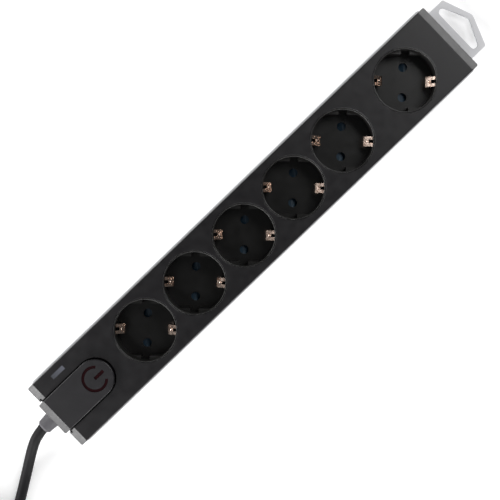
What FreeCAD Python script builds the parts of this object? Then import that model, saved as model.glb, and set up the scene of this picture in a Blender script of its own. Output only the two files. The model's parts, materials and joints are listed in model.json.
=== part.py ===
"""Six-way power strip with a rocking power key, a pull-out hanger and a lead with its plug.

Millimetres. The origin is on the table, in the middle of the strip's middle foot. +X runs
to the hanger end, -X to the lead, +Z is up.
"""
import FreeCAD, Part
import math
import os

# Body
LEAD_END = -173.6       # the cover's two ends
LOOP_END = 171.5
WIDTH = 49.6            # cover
HEIGHT = 42.0           # table to the cover's top face
PARTING = 12.5          # height of the joint between tray and cover
LEDGE = 1.8             # the tray stands this far out beyond the cover
UNDERSIDE = 1.0         # the feet hold the tray this far off the table
CORNER = 1.2            # upright corners of the cover
EDGE = 0.8              # long top edges
BEVEL_RUN = 5.15        # sloping ends of the cover
BEVEL_DROP = 3.5
WALL = 2.2
TOP_PLATE = 2.4
TRAY_WALL = 2.65
FLOOR = 3.4             # inside face of the tray's floor
GAP = 0.1               # between pieces that are pushed together

HALF_W = WIDTH / 2
TRAY_LEAD_END = LEAD_END - LEDGE
TRAY_LOOP_END = LOOP_END + LEDGE
TRAY_HALF_W = HALF_W + LEDGE
TRAY_ROOM_W = TRAY_HALF_W - TRAY_WALL
ROOM_W = HALF_W - WALL  # half width of the room inside the cover
CEILING = HEIGHT - TOP_PLATE

# Sockets
SOCKET_X = (131.7, 77.8, 35.5, -7.5, -50.5, -93.5)
RECESS_R = 19.3
RECESS_DEPTH = 17.5
CUP_FLOOR = 2.5
CUP_WALL = 1.6
RIM_R = 20.1
RIM_ROUND = 0.35
FLANGE_R = 21.1
FLANGE_LOW = 38.0
FLAT_AT = 16.5          # the two flats of the recess, from its axis
FLAT_TOP = 38.0
FLAT_NOTCH = 5.4
PIN_SPACING = 19.0
PIN_HOLE_R = 2.8
PIN_TURN = 45.0         # the pin line, from +X
SEAT = HEIGHT - RECESS_DEPTH
CUP_LOW = SEAT - CUP_FLOOR
PIN_OFFSET = PIN_SPACING / 2 * math.cos(math.radians(PIN_TURN))

# Shutters
POST_R = 1.4
SHUTTER_TOP = CUP_LOW - 0.2
SHUTTER_LOW = 19.4
LOBE_R = 3.4
HUB_R = 3.4
PLATE_R = 15.0
PLATE_TOP = 18.9
PLATE_LOW = 17.4
SNAP_AT = 13.0

# Earth contacts
STRIP = 0.7             # sheet thickness
CLIP_W = 6.2
STRAP_Z = 13.4          # middle of the strap under the cup
CLIP_FLOOR_R = 17.6
CLIP_IN_R = 13.5
CLIP_TOP_R = 19.3

# Rails
RAIL_T = 0.8
RAIL_W = 8.0
RAIL_LOW = 7.2
RAIL_START = -112.0
RAIL_END = 142.5
LEAF_T = 0.5
LEAF_TOP = 16.6
EARTH_RAIL_W = 5.0

# Power key and switch
KEY_W = 24.6
KEY_GAP = 0.9
KEY_END = -175.8
KEY_ARC_X = -137.1
KEY_TOP = 43.15         # before it is tilted
KEY_LOW = 36.4
KEY_BEVEL_RUN = 5.3
KEY_BEVEL_DROP = 3.6
KEY_SHELL = 2.0
KEY_EDGE = 0.6
KEY_TILT = 2.6          # degrees, round end raised
PIVOT_X = -165.0
PIVOT_Z = 37.6
PIVOT_R = 1.25
SYMBOL_R = 8.4
SYMBOL_LINE = 1.75
SYMBOL_GAP = 42.0       # half of the ring's gap, degrees
SYMBOL_BAR = 7.5
SYMBOL_BAR_W = 2.05
SYMBOL_SUNK = 0.2
WELL_FLOOR = 33.5       # top of the floor of the key's well
WELL_T = 1.5
SWITCH_X = -128.5
SWITCH_TOP = 31.9
SWITCH_LOW = 14.0
SWITCH_LONG = 20.0
SWITCH_WIDE = 14.0
PLUNGER_R = 2.2
LAMP_X = -145.0

# Hanger
HANGER_LOW = 3.6
HANGER_T = 2.6
HANGER_HALF = 20.36
HANGER_INNER = 14.2     # inside of its two legs
HANGER_SHOULDER = 189.6
HANGER_TIP = 197.2
HANGER_CLEAR = 0.2
LEG_END = 150.0
CHANNEL_END = 124.0
GUIDE_T = 1.6
GUIDE_END = 115.5
GUIDE_SCREW = (119.2, 17.5)

# Marking inlay
INLAY = (-151.6, 19.05)
INLAY_SIZE = (10.0, 2.9)
INLAY_DEPTH = 0.6

# Screws and feet
SCREW_AT = [(-161.5, 17.4), (-29.0, 17.4), (105.5, 15.6)]
SCREW_R = 1.45
SCREW_HEAD_R = 2.9
SCREW_HEAD_Z = 8.0
SCREW_POST_R = 4.6
POST_TOP = 16.0
FOOT_AT = [(-150.0, 16.0), (-150.0, -16.0), (150.0, 16.0), (150.0, -16.0), (0.0, 0.0)]
FOOT_R = 6.0
FOOT_POCKET = 1.2
LABEL_DEPTH = 0.3       # blank recessed field on the underside

# Lead
CORD_R = 3.5
BOOT_ROOT_R = 6.1
BOOT_TIP_R = 4.95
BOOT_TIP = -189.4
BOOT_FLANGE = 2.0       # thickness behind the wall
BOOT_FLANGE_R = 8.0
CORD_INNER_END = -153.0
CORD_ROUTE = [
    (-189.4, 0.0, 12.5),
    (-196.5, -0.9, 11.6),
    (-204.5, -4.4, 8.8),
    (-213.0, -9.4, 5.8),
    (-223.0, -15.6, 3.8),
    (-234.5, -22.8, 3.5),
    (-246.5, -30.2, 3.5),
    (-258.5, -35.2, 3.5),
    (-270.0, -36.4, 3.5),
    (-282.0, -36.6, 3.5),
]
HANK_FROM = -282.0      # the spare lead's hank, between the centres of its two rounded ends
HANK_TO = -392.0
HANK_Y = -8.4
HANK_INNER = 17.4
HANK_OUTER = 31.8
HANK_TOP = 14.0
PLUG_R = 18.5
PLUG_FACE = 58.0        # along the plug's axis, from the back of its boot
PLUG_FRONT = 42.0
PLUG_BACK = 19.0
PLUG_ROLL = 32.0        # degrees that it has rolled over by
PIN_R = 2.4
PIN_ROOT_R = 1.9
PIN_LENGTH = 19.0
TAIL_ROUTE = [
    (-392.0, -36.6, 10.5),
    (-404.0, -35.9, 11.2),
    (-416.0, -31.0, 14.4),
    (-428.0, -24.6, 17.6),
    (-440.0, -21.0, PLUG_R),
]


# ---------------------------------------------------------------- shapes

def vec(x, y, z):
    return FreeCAD.Vector(x, y, z)


def block(x0, x1, y0, y1, z0, z1):
    return Part.makeBox(x1 - x0, y1 - y0, z1 - z0, vec(x0, y0, z0))


def rod(x, y, z0, z1, r):
    return Part.makeCylinder(r, z1 - z0, vec(x, y, z0))


def rod_x(x0, x1, y, z, r):
    return Part.makeCylinder(r, x1 - x0, vec(x0, y, z), vec(1, 0, 0))


def rod_y(x, y0, y1, z, r):
    return Part.makeCylinder(r, y1 - y0, vec(x, y0, z), vec(0, 1, 0))


def joined(shapes):
    shapes = list(shapes)
    return shapes[0].multiFuse(shapes[1:]).removeSplitter()


def mirrored(shape):
    """The shape and its mirror image across the plane Y = 0."""
    return [shape, shape.mirror(vec(0, 0, 0), vec(0, 1, 0))]


def on_plane(plane, a, b, at):
    return {"xy": vec(a, b, at), "xz": vec(a, at, b), "yz": vec(at, a, b)}[plane]


def plate(corners, plane, low, high):
    """A prism whose outline has corners (a, b, radius), from low to high across the plane."""
    count = len(corners)
    ends = []
    for i, (a, b, radius) in enumerate(corners):
        here = vec(a, b, 0)
        back = vec(*corners[i - 1][:2], 0) - here
        on = vec(*corners[(i + 1) % count][:2], 0) - here
        if not radius:
            ends.append((here, None, here))
            continue
        half = back.getAngle(on) / 2
        reach = radius / math.tan(half)
        middle = (back.normalize() + on.normalize()).normalize()
        arc = here + middle * (radius / math.sin(half) - radius)
        ends.append((here + back * reach, arc, here + on * reach))

    def spot(p):
        return on_plane(plane, p.x, p.y, low)

    edges = []
    for i, (start, arc, end) in enumerate(ends):
        if arc:
            edges.append(Part.Arc(spot(start), spot(arc), spot(end)).toShape())
        after = ends[(i + 1) % count][0]
        if end.distanceToPoint(after) > 1e-6:
            edges.append(Part.LineSegment(spot(end), spot(after)).toShape())
    face = Part.Face(Part.Wire(edges))
    return face.extrude(on_plane(plane, 0, 0, high - low))


def rounded_box(x0, x1, half_y, radius, z0, z1):
    corners = [(x0, -half_y), (x1, -half_y), (x1, half_y), (x0, half_y)]
    return plate([(x, y, radius) for x, y in corners], "xy", z0, z1)


def band(points, thickness, bend, plane, low, high):
    """Bent strip: a line of points in a plane, given a thickness and swept across the plane."""
    spots = [vec(a, b, 0) for a, b in points]
    sides = ([], [])
    for i, here in enumerate(spots):
        first = (here - spots[i - 1]) if i else (spots[1] - here)
        last = (spots[i + 1] - here) if i < len(spots) - 1 else (here - spots[-2])
        n1 = vec(-first.y, first.x, 0).normalize()
        n2 = vec(-last.y, last.x, 0).normalize()
        middle = (n1 + n2).normalize()
        out = middle * (thickness / 2 / max(middle.dot(n1), 0.2))
        turn = first.x * last.y - first.y * last.x
        ends = i in (0, len(spots) - 1)
        left = 0 if ends else bend if turn > 0 else bend + thickness
        right = 0 if ends else bend + thickness if turn > 0 else bend
        sides[0].append((here.x + out.x, here.y + out.y, left))
        sides[1].append((here.x - out.x, here.y - out.y, right))
    return plate(sides[0] + sides[1][::-1], plane, low, high)


def turned(shape, degrees, centre=(0, 0, 0), axis=(0, 0, 1)):
    copy = shape.copy()
    copy.rotate(vec(*centre), vec(*axis), degrees)
    return copy


def moved(shape, x, y, z):
    copy = shape.copy()
    copy.translate(vec(x, y, z))
    return copy


def revolved(corners):
    """Solid of revolution about Z from an outline of (radius, height, corner radius)."""
    sheet = plate(corners, "xz", 0, 1)
    face = min(sheet.Faces, key=lambda f: abs(f.CenterOfMass.y) + (f.Surface.TypeId != "Part::GeomPlane"))
    return face.revolve(vec(0, 0, 0), vec(0, 0, 1), 360)


def tube_path(points, name, share=0.45):
    """Straight runs joined by tangent arcs, each as large as its shorter run allows."""
    spots = [vec(*p) for p in points]
    edges, radii, start = [], [], spots[0]
    for before, here, after in zip(spots, spots[1:], spots[2:]):
        back, on = before - here, after - here
        cut = share * min(back.Length, on.Length)
        half_turn = (math.pi - back.getAngle(on)) / 2
        radius = cut / math.tan(half_turn)
        back.normalize()
        on.normalize()
        first, last = here + back * cut, here + on * cut
        middle = here + (back + on).normalize() * (radius / math.cos(half_turn) - radius)
        edges.append(Part.LineSegment(start, first).toShape())
        edges.append(Part.Arc(first, middle, last).toShape())
        radii.append(radius)
        start = last
    edges.append(Part.LineSegment(start, spots[-1]).toShape())
    print(name, "arc radii", [round(r, 1) for r in radii])
    return Part.Wire(edges)


def tube(points, radius, name):
    path = tube_path(points, name)
    along = vec(*points[1]) - vec(*points[0])
    circle = Part.Wire(Part.makeCircle(radius, vec(*points[0]), along))
    solid = path.makePipeShell([circle], True, True)
    expected = math.pi * radius ** 2 * path.Length
    print(name, "length", round(path.Length, 1), "volume share", round(solid.Volume / expected, 4))
    return solid


def socket_frame(shape, index):
    """Moves a shape built on the socket's own axes, with its pins along X, to its place."""
    return moved(turned(shape, PIN_TURN), SOCKET_X[index], 0, 0)


# ---------------------------------------------------------------- body

def cover_shell():
    """Outside of the cover: long edges rounded, both ends sloping."""
    slope = [
        (LEAD_END, PARTING, 0), (LOOP_END, PARTING, 0), (LOOP_END, HEIGHT - BEVEL_DROP, 1.0),
        (LOOP_END - BEVEL_RUN, HEIGHT, 0.9), (LEAD_END + BEVEL_RUN, HEIGHT, 0.9),
        (LEAD_END, HEIGHT - BEVEL_DROP, 1.0),
    ]
    across = [
        (-HALF_W, PARTING, 0), (HALF_W, PARTING, 0), (HALF_W, HEIGHT, EDGE), (-HALF_W, HEIGHT, EDGE),
    ]
    outside = plate(slope, "xz", -HALF_W, HALF_W)
    outside = outside.common(plate(across, "yz", LEAD_END, LOOP_END))
    return outside.common(rounded_box(LEAD_END, LOOP_END, HALF_W, CORNER, PARTING, HEIGHT))


def cover_room():
    x0, x1 = LEAD_END + WALL, LOOP_END - WALL
    run = BEVEL_RUN - 0.8
    slope = [
        (x0, PARTING, 0), (x1, PARTING, 0), (x1, CEILING - BEVEL_DROP, 0),
        (x1 - run, CEILING, 0), (x0 + run, CEILING, 0), (x0, CEILING - BEVEL_DROP, 0),
    ]
    return plate(slope, "xz", -ROOM_W, ROOM_W)


def key_plan(grow, end):
    """The key's outline in plan, grown by some clearance: straight sides and a round end."""
    half = KEY_W / 2 + grow
    rest = block(end, KEY_ARC_X, -half, half, 0, HEIGHT + 10)
    return rest.fuse(rod(KEY_ARC_X, 0, 0, HEIGHT + 10, half)).removeSplitter()


def between(shape, z0, z1):
    box = shape.BoundBox
    return shape.common(block(box.XMin - 1, box.XMax + 1, box.YMin - 1, box.YMax + 1, z0, z1))


def key_well():
    """Floor and walls under the key, so that nothing live can be touched past it."""
    outer = key_plan(KEY_GAP + WELL_T, LEAD_END + WALL / 2)
    room = key_plan(KEY_GAP, LEAD_END - 5)
    well = between(outer, WELL_FLOOR - WELL_T, CEILING + 0.5).cut(between(room, WELL_FLOOR, HEIGHT + 5))
    light = block(LAMP_X - 5.5, LAMP_X + 5.5, -2.6, 2.6, WELL_FLOOR - 5, WELL_FLOOR + 1)
    plunger = rod(SWITCH_X, 0, WELL_FLOOR - 5, WELL_FLOOR + 1, PLUNGER_R + 0.3)
    bearing = mirrored(block(PIVOT_X - 2.4, PIVOT_X + 2.4, 7.2, 9.4, WELL_FLOOR - 0.5, PIVOT_Z + 2.4))
    return joined([well.cut(joined([light, plunger]))] + bearing)


def cover_lip():
    """Thin rib that drops inside the tray's wall and locates the cover."""
    return mirrored(block(LEAD_END + 8, LOOP_END - 8, ROOM_W, TRAY_ROOM_W - GAP, PARTING - 2, PARTING + 1))


def top_cover():
    slot = between(key_plan(KEY_GAP, LEAD_END - 5), WELL_FLOOR, HEIGHT + 5)
    cover = cover_shell().cut(cover_room()).cut(slot)
    bosses = [b for x, y in SCREW_AT for b in mirrored(rod(x, y, POST_TOP + GAP, CEILING + 1, 3.6))]
    cover = joined([cover, key_well()] + bosses + cover_lip())
    cuts = []
    for x in SOCKET_X:
        cuts.append(rod(x, 0, CEILING - 1, HEIGHT + 1, RIM_R + GAP))
        cuts.append(Part.makeCone(RIM_R + GAP, RIM_R + GAP + 0.3, 0.3, vec(x, 0, HEIGHT - 0.3)))
    for x, y in SCREW_AT:
        cuts += mirrored(rod(x, y, POST_TOP - 1, POST_TOP + 10.5, SCREW_R + 0.05))
    cuts.append(rod_y(PIVOT_X, -11, 11, PIVOT_Z, PIVOT_R + 0.04))
    cuts.append(rod_x(LEAD_END - 1, LEAD_END + WALL + 1, 0, PARTING, BOOT_ROOT_R + 0.2))
    long, wide = INLAY_SIZE
    cuts.append(block(INLAY[0] - long / 2, INLAY[0] + long / 2, INLAY[1] - wide / 2, INLAY[1] + wide / 2,
                      HEIGHT - INLAY_DEPTH, HEIGHT + 1))
    return cover.cut(joined(cuts)).removeSplitter()


def tray_shell():
    slope = [
        (TRAY_LEAD_END, UNDERSIDE, 1.4), (TRAY_LOOP_END, UNDERSIDE, 1.4),
        (TRAY_LOOP_END, PARTING, 0.6), (TRAY_LEAD_END, PARTING, 0.6),
    ]
    across = [
        (-TRAY_HALF_W, UNDERSIDE, 1.4), (TRAY_HALF_W, UNDERSIDE, 1.4),
        (TRAY_HALF_W, PARTING, 0.6), (-TRAY_HALF_W, PARTING, 0.6),
    ]
    outside = plate(slope, "xz", -TRAY_HALF_W, TRAY_HALF_W)
    ends = (TRAY_LEAD_END, TRAY_LOOP_END)
    outside = outside.common(plate(across, "yz", *ends))
    outside = outside.common(rounded_box(*ends, TRAY_HALF_W, CORNER + LEDGE, UNDERSIDE, PARTING))
    room = rounded_box(ends[0] + TRAY_WALL, ends[1] - TRAY_WALL, TRAY_ROOM_W, 1.0, FLOOR, PARTING + 1)
    return outside.cut(room)


def hanger_channel():
    """Ribs that guide the hanger's legs and carry the plate over them."""
    top = HANGER_LOW + HANGER_T + 2 * HANGER_CLEAR
    wall = TRAY_ROOM_W + 0.5
    end = TRAY_LOOP_END - TRAY_WALL + 0.5
    outer = mirrored(block(CHANNEL_END, end, HANGER_HALF + 1.25, wall, FLOOR - 0.5, top))
    inner = mirrored(block(CHANNEL_END, 145.0, 12.5, HANGER_INNER - 0.3, FLOOR - 0.5, top))
    back = mirrored(block(CHANNEL_END - 1.5, CHANNEL_END, 12.5, wall, FLOOR - 0.5, top))
    bosses = mirrored(rod(*GUIDE_SCREW, FLOOR - 0.5, top, 2.8))
    return outer + inner + back + bosses


def cord_saddle():
    saddle = block(-164.0, -156.0, -10.5, 10.5, FLOOR - 0.5, PARTING - 1.2)
    ribs = block(-167.2, -165.8, -10.5, 10.5, FLOOR - 0.5, PARTING)
    return [saddle, ribs]


def bottom_tray():
    posts = [p for x, y in SCREW_AT for p in mirrored(rod(x, y, FLOOR - 0.5, POST_TOP, SCREW_POST_R))]
    keepers = mirrored(block(-108.0, 138.0, 12.6, 13.8, FLOOR - 0.5, FLOOR + 1.6))
    keepers = [k.cut(block(96, 146, -30, 30, 0, 50)) for k in keepers]
    tray = joined([tray_shell()] + posts + hanger_channel() + cord_saddle() + keepers)
    cuts = []
    for x, y in SCREW_AT:
        cuts += mirrored(rod(x, y, UNDERSIDE - 1, SCREW_HEAD_Z, SCREW_HEAD_R + 0.5))
        cuts += mirrored(rod(x, y, UNDERSIDE, POST_TOP + 1, SCREW_R + 0.3))
    for x, y in FOOT_AT:
        cuts.append(rod(x, y, 0, UNDERSIDE + FOOT_POCKET, FOOT_R + GAP))
    slot_low, slot_high = HANGER_LOW - HANGER_CLEAR, HANGER_LOW + HANGER_T + HANGER_CLEAR
    slot = HANGER_HALF + 0.3
    cuts.append(block(TRAY_LOOP_END - TRAY_WALL - 1, TRAY_LOOP_END + 1, -slot, slot, slot_low, slot_high))
    cuts.append(rod_x(TRAY_LEAD_END - 1, LEAD_END + WALL + 1, 0, PARTING, BOOT_ROOT_R + 0.2))
    cuts.append(rod_x(-168, -155, 0, PARTING, CORD_R + 0.05))
    cuts += mirrored(rod(-160, 7.4, FLOOR, PARTING, 1.3))
    cuts += mirrored(rod(*GUIDE_SCREW, UNDERSIDE + 0.7, PARTING, 1.1))
    cuts.append(block(-106.0, -54.0, -15.0, 15.0, 0, UNDERSIDE + LABEL_DEPTH))
    return tray.cut(joined(cuts)).removeSplitter()


def feet():
    foot = revolved([
        (0, 0, 0), (FOOT_R - 0.4, 0, 0.4), (FOOT_R, UNDERSIDE, 0.3),
        (FOOT_R, UNDERSIDE + FOOT_POCKET - 0.05, 0), (0, UNDERSIDE + FOOT_POCKET - 0.05, 0),
    ])
    return Part.makeCompound([moved(foot, x, y, 0) for x, y in FOOT_AT])


def screw(head_r, head_h, shank_r, length):
    """Pan-head screw, head down: its head stands on z = 0 and its shank points up."""
    head = revolved([(0, -head_h, 0), (head_r, -head_h, 0.8), (head_r, 0, 0), (0, 0, 0)])
    shank = revolved([(0, -0.5, 0), (shank_r, -0.5, 0), (shank_r, length - 1.2, 0), (0, length, 0)])
    slots = [block(-head_r * 0.6, head_r * 0.6, -0.35, 0.35, -head_h - 1, -head_h + 1.1)]
    slots.append(turned(slots[0], 90))
    return joined([head, shank]).cut(joined(slots))


def cover_screws():
    one = screw(SCREW_HEAD_R, 2.4, SCREW_R, 17.0)
    spots = [(x, y * side) for x, y in SCREW_AT for side in (1, -1)]
    return Part.makeCompound([moved(one, x, y, SCREW_HEAD_Z) for x, y in spots])


def marking_inlay():
    long, wide = INLAY_SIZE[0] - 0.1, INLAY_SIZE[1] - 0.1
    chip = rounded_box(-long / 2, long / 2, wide / 2, 0.25, HEIGHT - INLAY_DEPTH, HEIGHT + 0.03)
    return moved(chip, INLAY[0], INLAY[1], 0)


# ---------------------------------------------------------------- sockets

def recess():
    """The hollow a plug goes into, pins along X: round, with two notched flats."""
    hollow = rod(0, 0, SEAT, HEIGHT + 1, RECESS_R)
    for side in (1, -1):
        far = sorted((side * FLAT_AT, side * (RECESS_R + 1)))
        flat = block(far[0], far[1], -RECESS_R, RECESS_R, SEAT - 1, FLAT_TOP)
        notch = block(far[0], far[1], -FLAT_NOTCH / 2, FLAT_NOTCH / 2, SEAT - 2, FLAT_TOP + 1)
        hollow = hollow.cut(flat.cut(notch))
    return hollow


def cup_body():
    wall_r = RECESS_R + CUP_WALL
    return revolved([
        (0, CUP_LOW, 0), (wall_r, CUP_LOW, 0.8), (wall_r, FLANGE_LOW, 0), (FLANGE_R, FLANGE_LOW, 0),
        (FLANGE_R, CEILING, 0), (RIM_R, CEILING, 0), (RIM_R, HEIGHT - 0.05, 0.15),
        (RECESS_R, HEIGHT - 0.05, 0), (RECESS_R - 0.5, HEIGHT - 0.05, 0), (0, HEIGHT - 0.05, 0),
    ])


def rim_round():
    """What the rounded mouth of the recess takes away."""
    top = HEIGHT - 0.05
    ring = rod(0, 0, top - RIM_ROUND, top + 1, RECESS_R + RIM_ROUND)
    torus = Part.makeTorus(RECESS_R + RIM_ROUND, RIM_ROUND, vec(0, 0, top - RIM_ROUND))
    return ring.cut(torus).cut(rod(0, 0, 0, HEIGHT + 2, RECESS_R - 0.1))


def socket_cup(index):
    cup = cup_body().cut(recess()).cut(rim_round())
    snap_hook = block(-2.0, 2.0, SNAP_AT, SNAP_AT + 1.4, PLATE_LOW - 1.0, CUP_LOW + 0.5)
    snap_nose = block(-2.0, 2.0, SNAP_AT - 0.6, SNAP_AT + 0.1, PLATE_LOW - 1.0, PLATE_LOW - GAP)
    snaps = [snap_hook.fuse(snap_nose)]
    snaps.append(turned(snaps[0], 180))
    pivot = rod(0, 0, PLATE_LOW, CUP_LOW + 0.5, POST_R)
    cup = joined([cup, pivot] + snaps)
    cuts = []
    for side in (1, -1):
        x = side * PIN_SPACING / 2
        cuts.append(rod(x, 0, CUP_LOW - 1, SEAT + 1, PIN_HOLE_R))
        y0, y1 = sorted((side * (CLIP_FLOOR_R - 0.8), side * (CLIP_FLOOR_R + 0.8)))
        cuts.append(block(-CLIP_W / 2 - 0.3, CLIP_W / 2 + 0.3, y0, y1, CUP_LOW - 1, SEAT + 1))
        y0, y1 = sorted((side * (RECESS_R - 1), side * (RECESS_R + 0.9)))
        cuts.append(block(-CLIP_W / 2 - 0.3, CLIP_W / 2 + 0.3, y0, y1, 34.0, 38.6))
    return socket_frame(cup.cut(joined(cuts)).removeSplitter(), index)


def shutter(index):
    """Two-lobed rotor under the pin holes. Each lobe has a ramp that a pin pushes aside."""
    hub = rod(0, 0, SHUTTER_LOW, SHUTTER_TOP, HUB_R)
    arm = block(-PIN_SPACING / 2, PIN_SPACING / 2, -1.6, 1.6, SHUTTER_LOW + 0.4, SHUTTER_TOP - 0.5)
    lobes = [rod(s * PIN_SPACING / 2, 0, SHUTTER_LOW, SHUTTER_TOP, LOBE_R) for s in (1, -1)]
    rotor = joined([hub, arm] + lobes)
    ramp = plate([(-0.8, SHUTTER_TOP, 0), (4.0, SHUTTER_TOP - 1.5, 0), (4.0, SHUTTER_TOP + 1, 0),
                  (-0.8, SHUTTER_TOP + 1, 0)], "yz", PIN_SPACING / 2 - 4.5, PIN_SPACING / 2 + 4.5)
    ramps = [ramp, turned(ramp, 180)]
    spring_room = rod(0, 0, SHUTTER_LOW - 1, SHUTTER_LOW + 1.5, 2.7)
    bore = rod(0, 0, SHUTTER_LOW - 1, SHUTTER_TOP + 1, POST_R + 0.08)
    return socket_frame(rotor.cut(joined(ramps + [spring_room, bore])).removeSplitter(), index)


def shutter_plate(index):
    """Snapped under the cup, it keeps the shutter and its spring in place."""
    disc = rod(0, 0, PLATE_LOW, PLATE_TOP, PLATE_R)
    cuts = [rod(s * PIN_SPACING / 2, 0, PLATE_LOW - 1, PLATE_TOP + 1, 3.3) for s in (1, -1)]
    cuts += [rod(0, 0, PLATE_LOW - 1, PLATE_TOP + 1, POST_R + 0.05)]
    slot = block(-2.1, 2.1, SNAP_AT - 0.1, SNAP_AT + 3, PLATE_LOW - 1, PLATE_TOP + 1)
    cuts += [slot, turned(slot, 180)]
    return socket_frame(disc.cut(joined(cuts)), index)


def shutter_springs():
    """Torsion springs round the shutters' posts, one to a socket."""
    wire, turns, radius = 0.4, 2.5, 2.2
    low = PLATE_TOP + wire / 2 + 0.05
    helix = Part.makeLongHelix(wire * 1.3, wire * 1.3 * turns, radius)
    circle = Part.Wire(Part.makeCircle(wire / 2, vec(radius, 0, 0), vec(0, 1, 0)))
    coil = Part.Wire(helix.Edges).makePipeShell([circle], True, True)
    return Part.makeCompound([socket_frame(moved(coil, 0, 0, low), i) for i in range(len(SOCKET_X))])


def earth_bracket(index):
    """One bent strip: a strap under the cup whose two ends rise into the recess as clips."""
    half = [
        (0, STRAP_Z), (CLIP_FLOOR_R, STRAP_Z), (CLIP_FLOOR_R, SEAT + 1.5),
        (CLIP_IN_R, 31.2), (CLIP_TOP_R, 37.2),
    ]
    whole = [(-r, z) for r, z in half[:0:-1]] + half[1:]
    strip = band(whole, STRIP, 0.7, "yz", -CLIP_W / 2, CLIP_W / 2)
    cuts, adds = [], []
    for side in (1, -1):
        y0, y1 = sorted((side * 16.9, side * 21))
        cuts.append(block(-1.05, 1.05, y0, y1, 34.2, 40))
        for crease in (-2.1, 2.1):
            groove = block(crease - 0.25, crease + 0.25, 13.0, 16.4, 0, 0.6)
            groove = turned(moved(groove, 0, 0, 31.6), 46, (0, 13.6, 31.6), (1, 0, 0))
            cuts.append(groove if side == 1 else turned(groove, 180))
        nub = Part.makeSphere(1.0, vec(0, 15.9, 33.6))
        adds.append(nub if side == 1 else turned(nub, 180))
    return socket_frame(joined([strip.cut(joined(cuts))] + adds), index)


# ---------------------------------------------------------------- live parts

def leaf_pair(x, y):
    """Two springy leaves that grip one pin."""
    line = [(3.45, RAIL_LOW + RAIL_T / 2), (3.45, 10.0), (2.45, 13.6), (3.9, LEAF_TOP)]
    leaves = []
    for side in (1, -1):
        spots = [(y + side * a, b) for a, b in line]
        leaves.append(band(spots, LEAF_T, 0.6, "yz", x - 2.5, x + 2.5))
    return leaves


def rail(side):
    y = side * PIN_OFFSET
    strip = block(RAIL_START, RAIL_END, y - RAIL_W / 2, y + RAIL_W / 2, RAIL_LOW, RAIL_LOW + RAIL_T)
    leaves = [leaf for x in SOCKET_X for leaf in leaf_pair(x + side * PIN_OFFSET, y)]
    holes = [rod(x + side * PIN_OFFSET, y, 0, RAIL_LOW + RAIL_T + 0.5, 2.9) for x in SOCKET_X]
    return joined([strip] + leaves).cut(joined(holes)).removeSplitter()


def earth_rail():
    top = STRAP_Z - STRIP / 2 - 0.02
    half = EARTH_RAIL_W / 2
    return block(-112.0, SOCKET_X[0] + 5, -half, half, top - RAIL_T, top)


def contact_carrier():
    """Insulating bed on the tray's floor: a channel for each live rail, the earth rail on its spine."""
    spine_top = STRAP_Z - STRIP / 2 - 0.02 - RAIL_T - 0.02
    bed = block(-114.0, 143.5, -12.2, 12.2, FLOOR, RAIL_LOW)
    spine = block(-110.0, 138.0, -1.4, 1.4, FLOOR, spine_top)
    sides = mirrored(block(-114.0, 143.5, 11.0, 12.2, FLOOR, 11.0))
    bed = joined([bed, spine] + sides)
    pits = [rod(x + s * PIN_OFFSET, s * PIN_OFFSET, 4.6, 20, 3.1) for x in SOCKET_X for s in (1, -1)]
    x, y = SCREW_AT[-1]
    pits += mirrored(rod(x, y, 0, 20, SCREW_POST_R + 0.2))
    return bed.cut(joined(pits)).removeSplitter()


def switch_housing():
    half_x, half_y = SWITCH_LONG / 2, SWITCH_WIDE / 2
    shell = block(SWITCH_X - half_x, SWITCH_X + half_x, -half_y, half_y, SWITCH_LOW, SWITCH_TOP)
    room = block(SWITCH_X - half_x + 1.5, SWITCH_X + half_x - 1.5, -half_y + 1.5, half_y - 1.5,
                 SWITCH_LOW + 2, SWITCH_TOP - 1.5)
    throat = rod(SWITCH_X, 0, SWITCH_TOP - 3, SWITCH_TOP + 1, PLUNGER_R + 0.1)
    return shell.cut(room.fuse(throat))


def switch_plunger():
    stem = rod(SWITCH_X, 0, 26.0, 36.9, PLUNGER_R)
    dome = Part.makeSphere(PLUNGER_R * 1.6, vec(SWITCH_X, 0, 36.9 - PLUNGER_R * 1.6))
    stem = stem.common(joined([dome, rod(SWITCH_X, 0, 20, 36.2, PLUNGER_R)]))
    flange = rod(SWITCH_X, 0, 26.0, 27.5, 4.2)
    spigot = rod(SWITCH_X, 0, 23.4, 26.5, 1.5)
    return joined([stem, flange, spigot])


def plunger_spring():
    wire, radius = 0.45, 2.3
    low, high = SWITCH_LOW + 2 + wire / 2 + 0.05, 26.0 - wire / 2 - 0.05
    pitch = (high - low) / 6
    helix = Part.makeLongHelix(pitch, high - low, radius)
    circle = Part.Wire(Part.makeCircle(wire / 2, vec(radius, 0, 0), vec(0, 1, 0)))
    coil = Part.Wire(helix.Edges).makePipeShell([circle], True, True)
    return moved(coil, SWITCH_X, 0, low)


def switch_terminals():
    """Four blade terminals standing down out of the switch, one pair to each pole."""
    spots = [(SWITCH_X + dx, dy) for dx in (-6.0, 6.0) for dy in (-4.0, 4.0)]
    blade = [block(x - 2.4, x + 2.4, y - 0.4, y + 0.4, 9.4, SWITCH_LOW) for x, y in spots]
    lugs = [rod_y(x, y - 2, y + 2, 11.0, 0.7) for x, y in spots]
    return Part.makeCompound([b.cut(hole) for b, hole in zip(blade, lugs)])


def indicator_lamp():
    """Small glow lamp under the key's lens, lying in the light window of the well."""
    glass = rod_x(LAMP_X - 4.5, LAMP_X + 3.0, 0, WELL_FLOOR - 0.6, 2.0)
    tip = Part.makeSphere(2.0, vec(LAMP_X + 3.0, 0, WELL_FLOOR - 0.6))
    return joined([glass, tip])


def lead(points, radius, name):
    return tube(points, radius, name)


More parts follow.
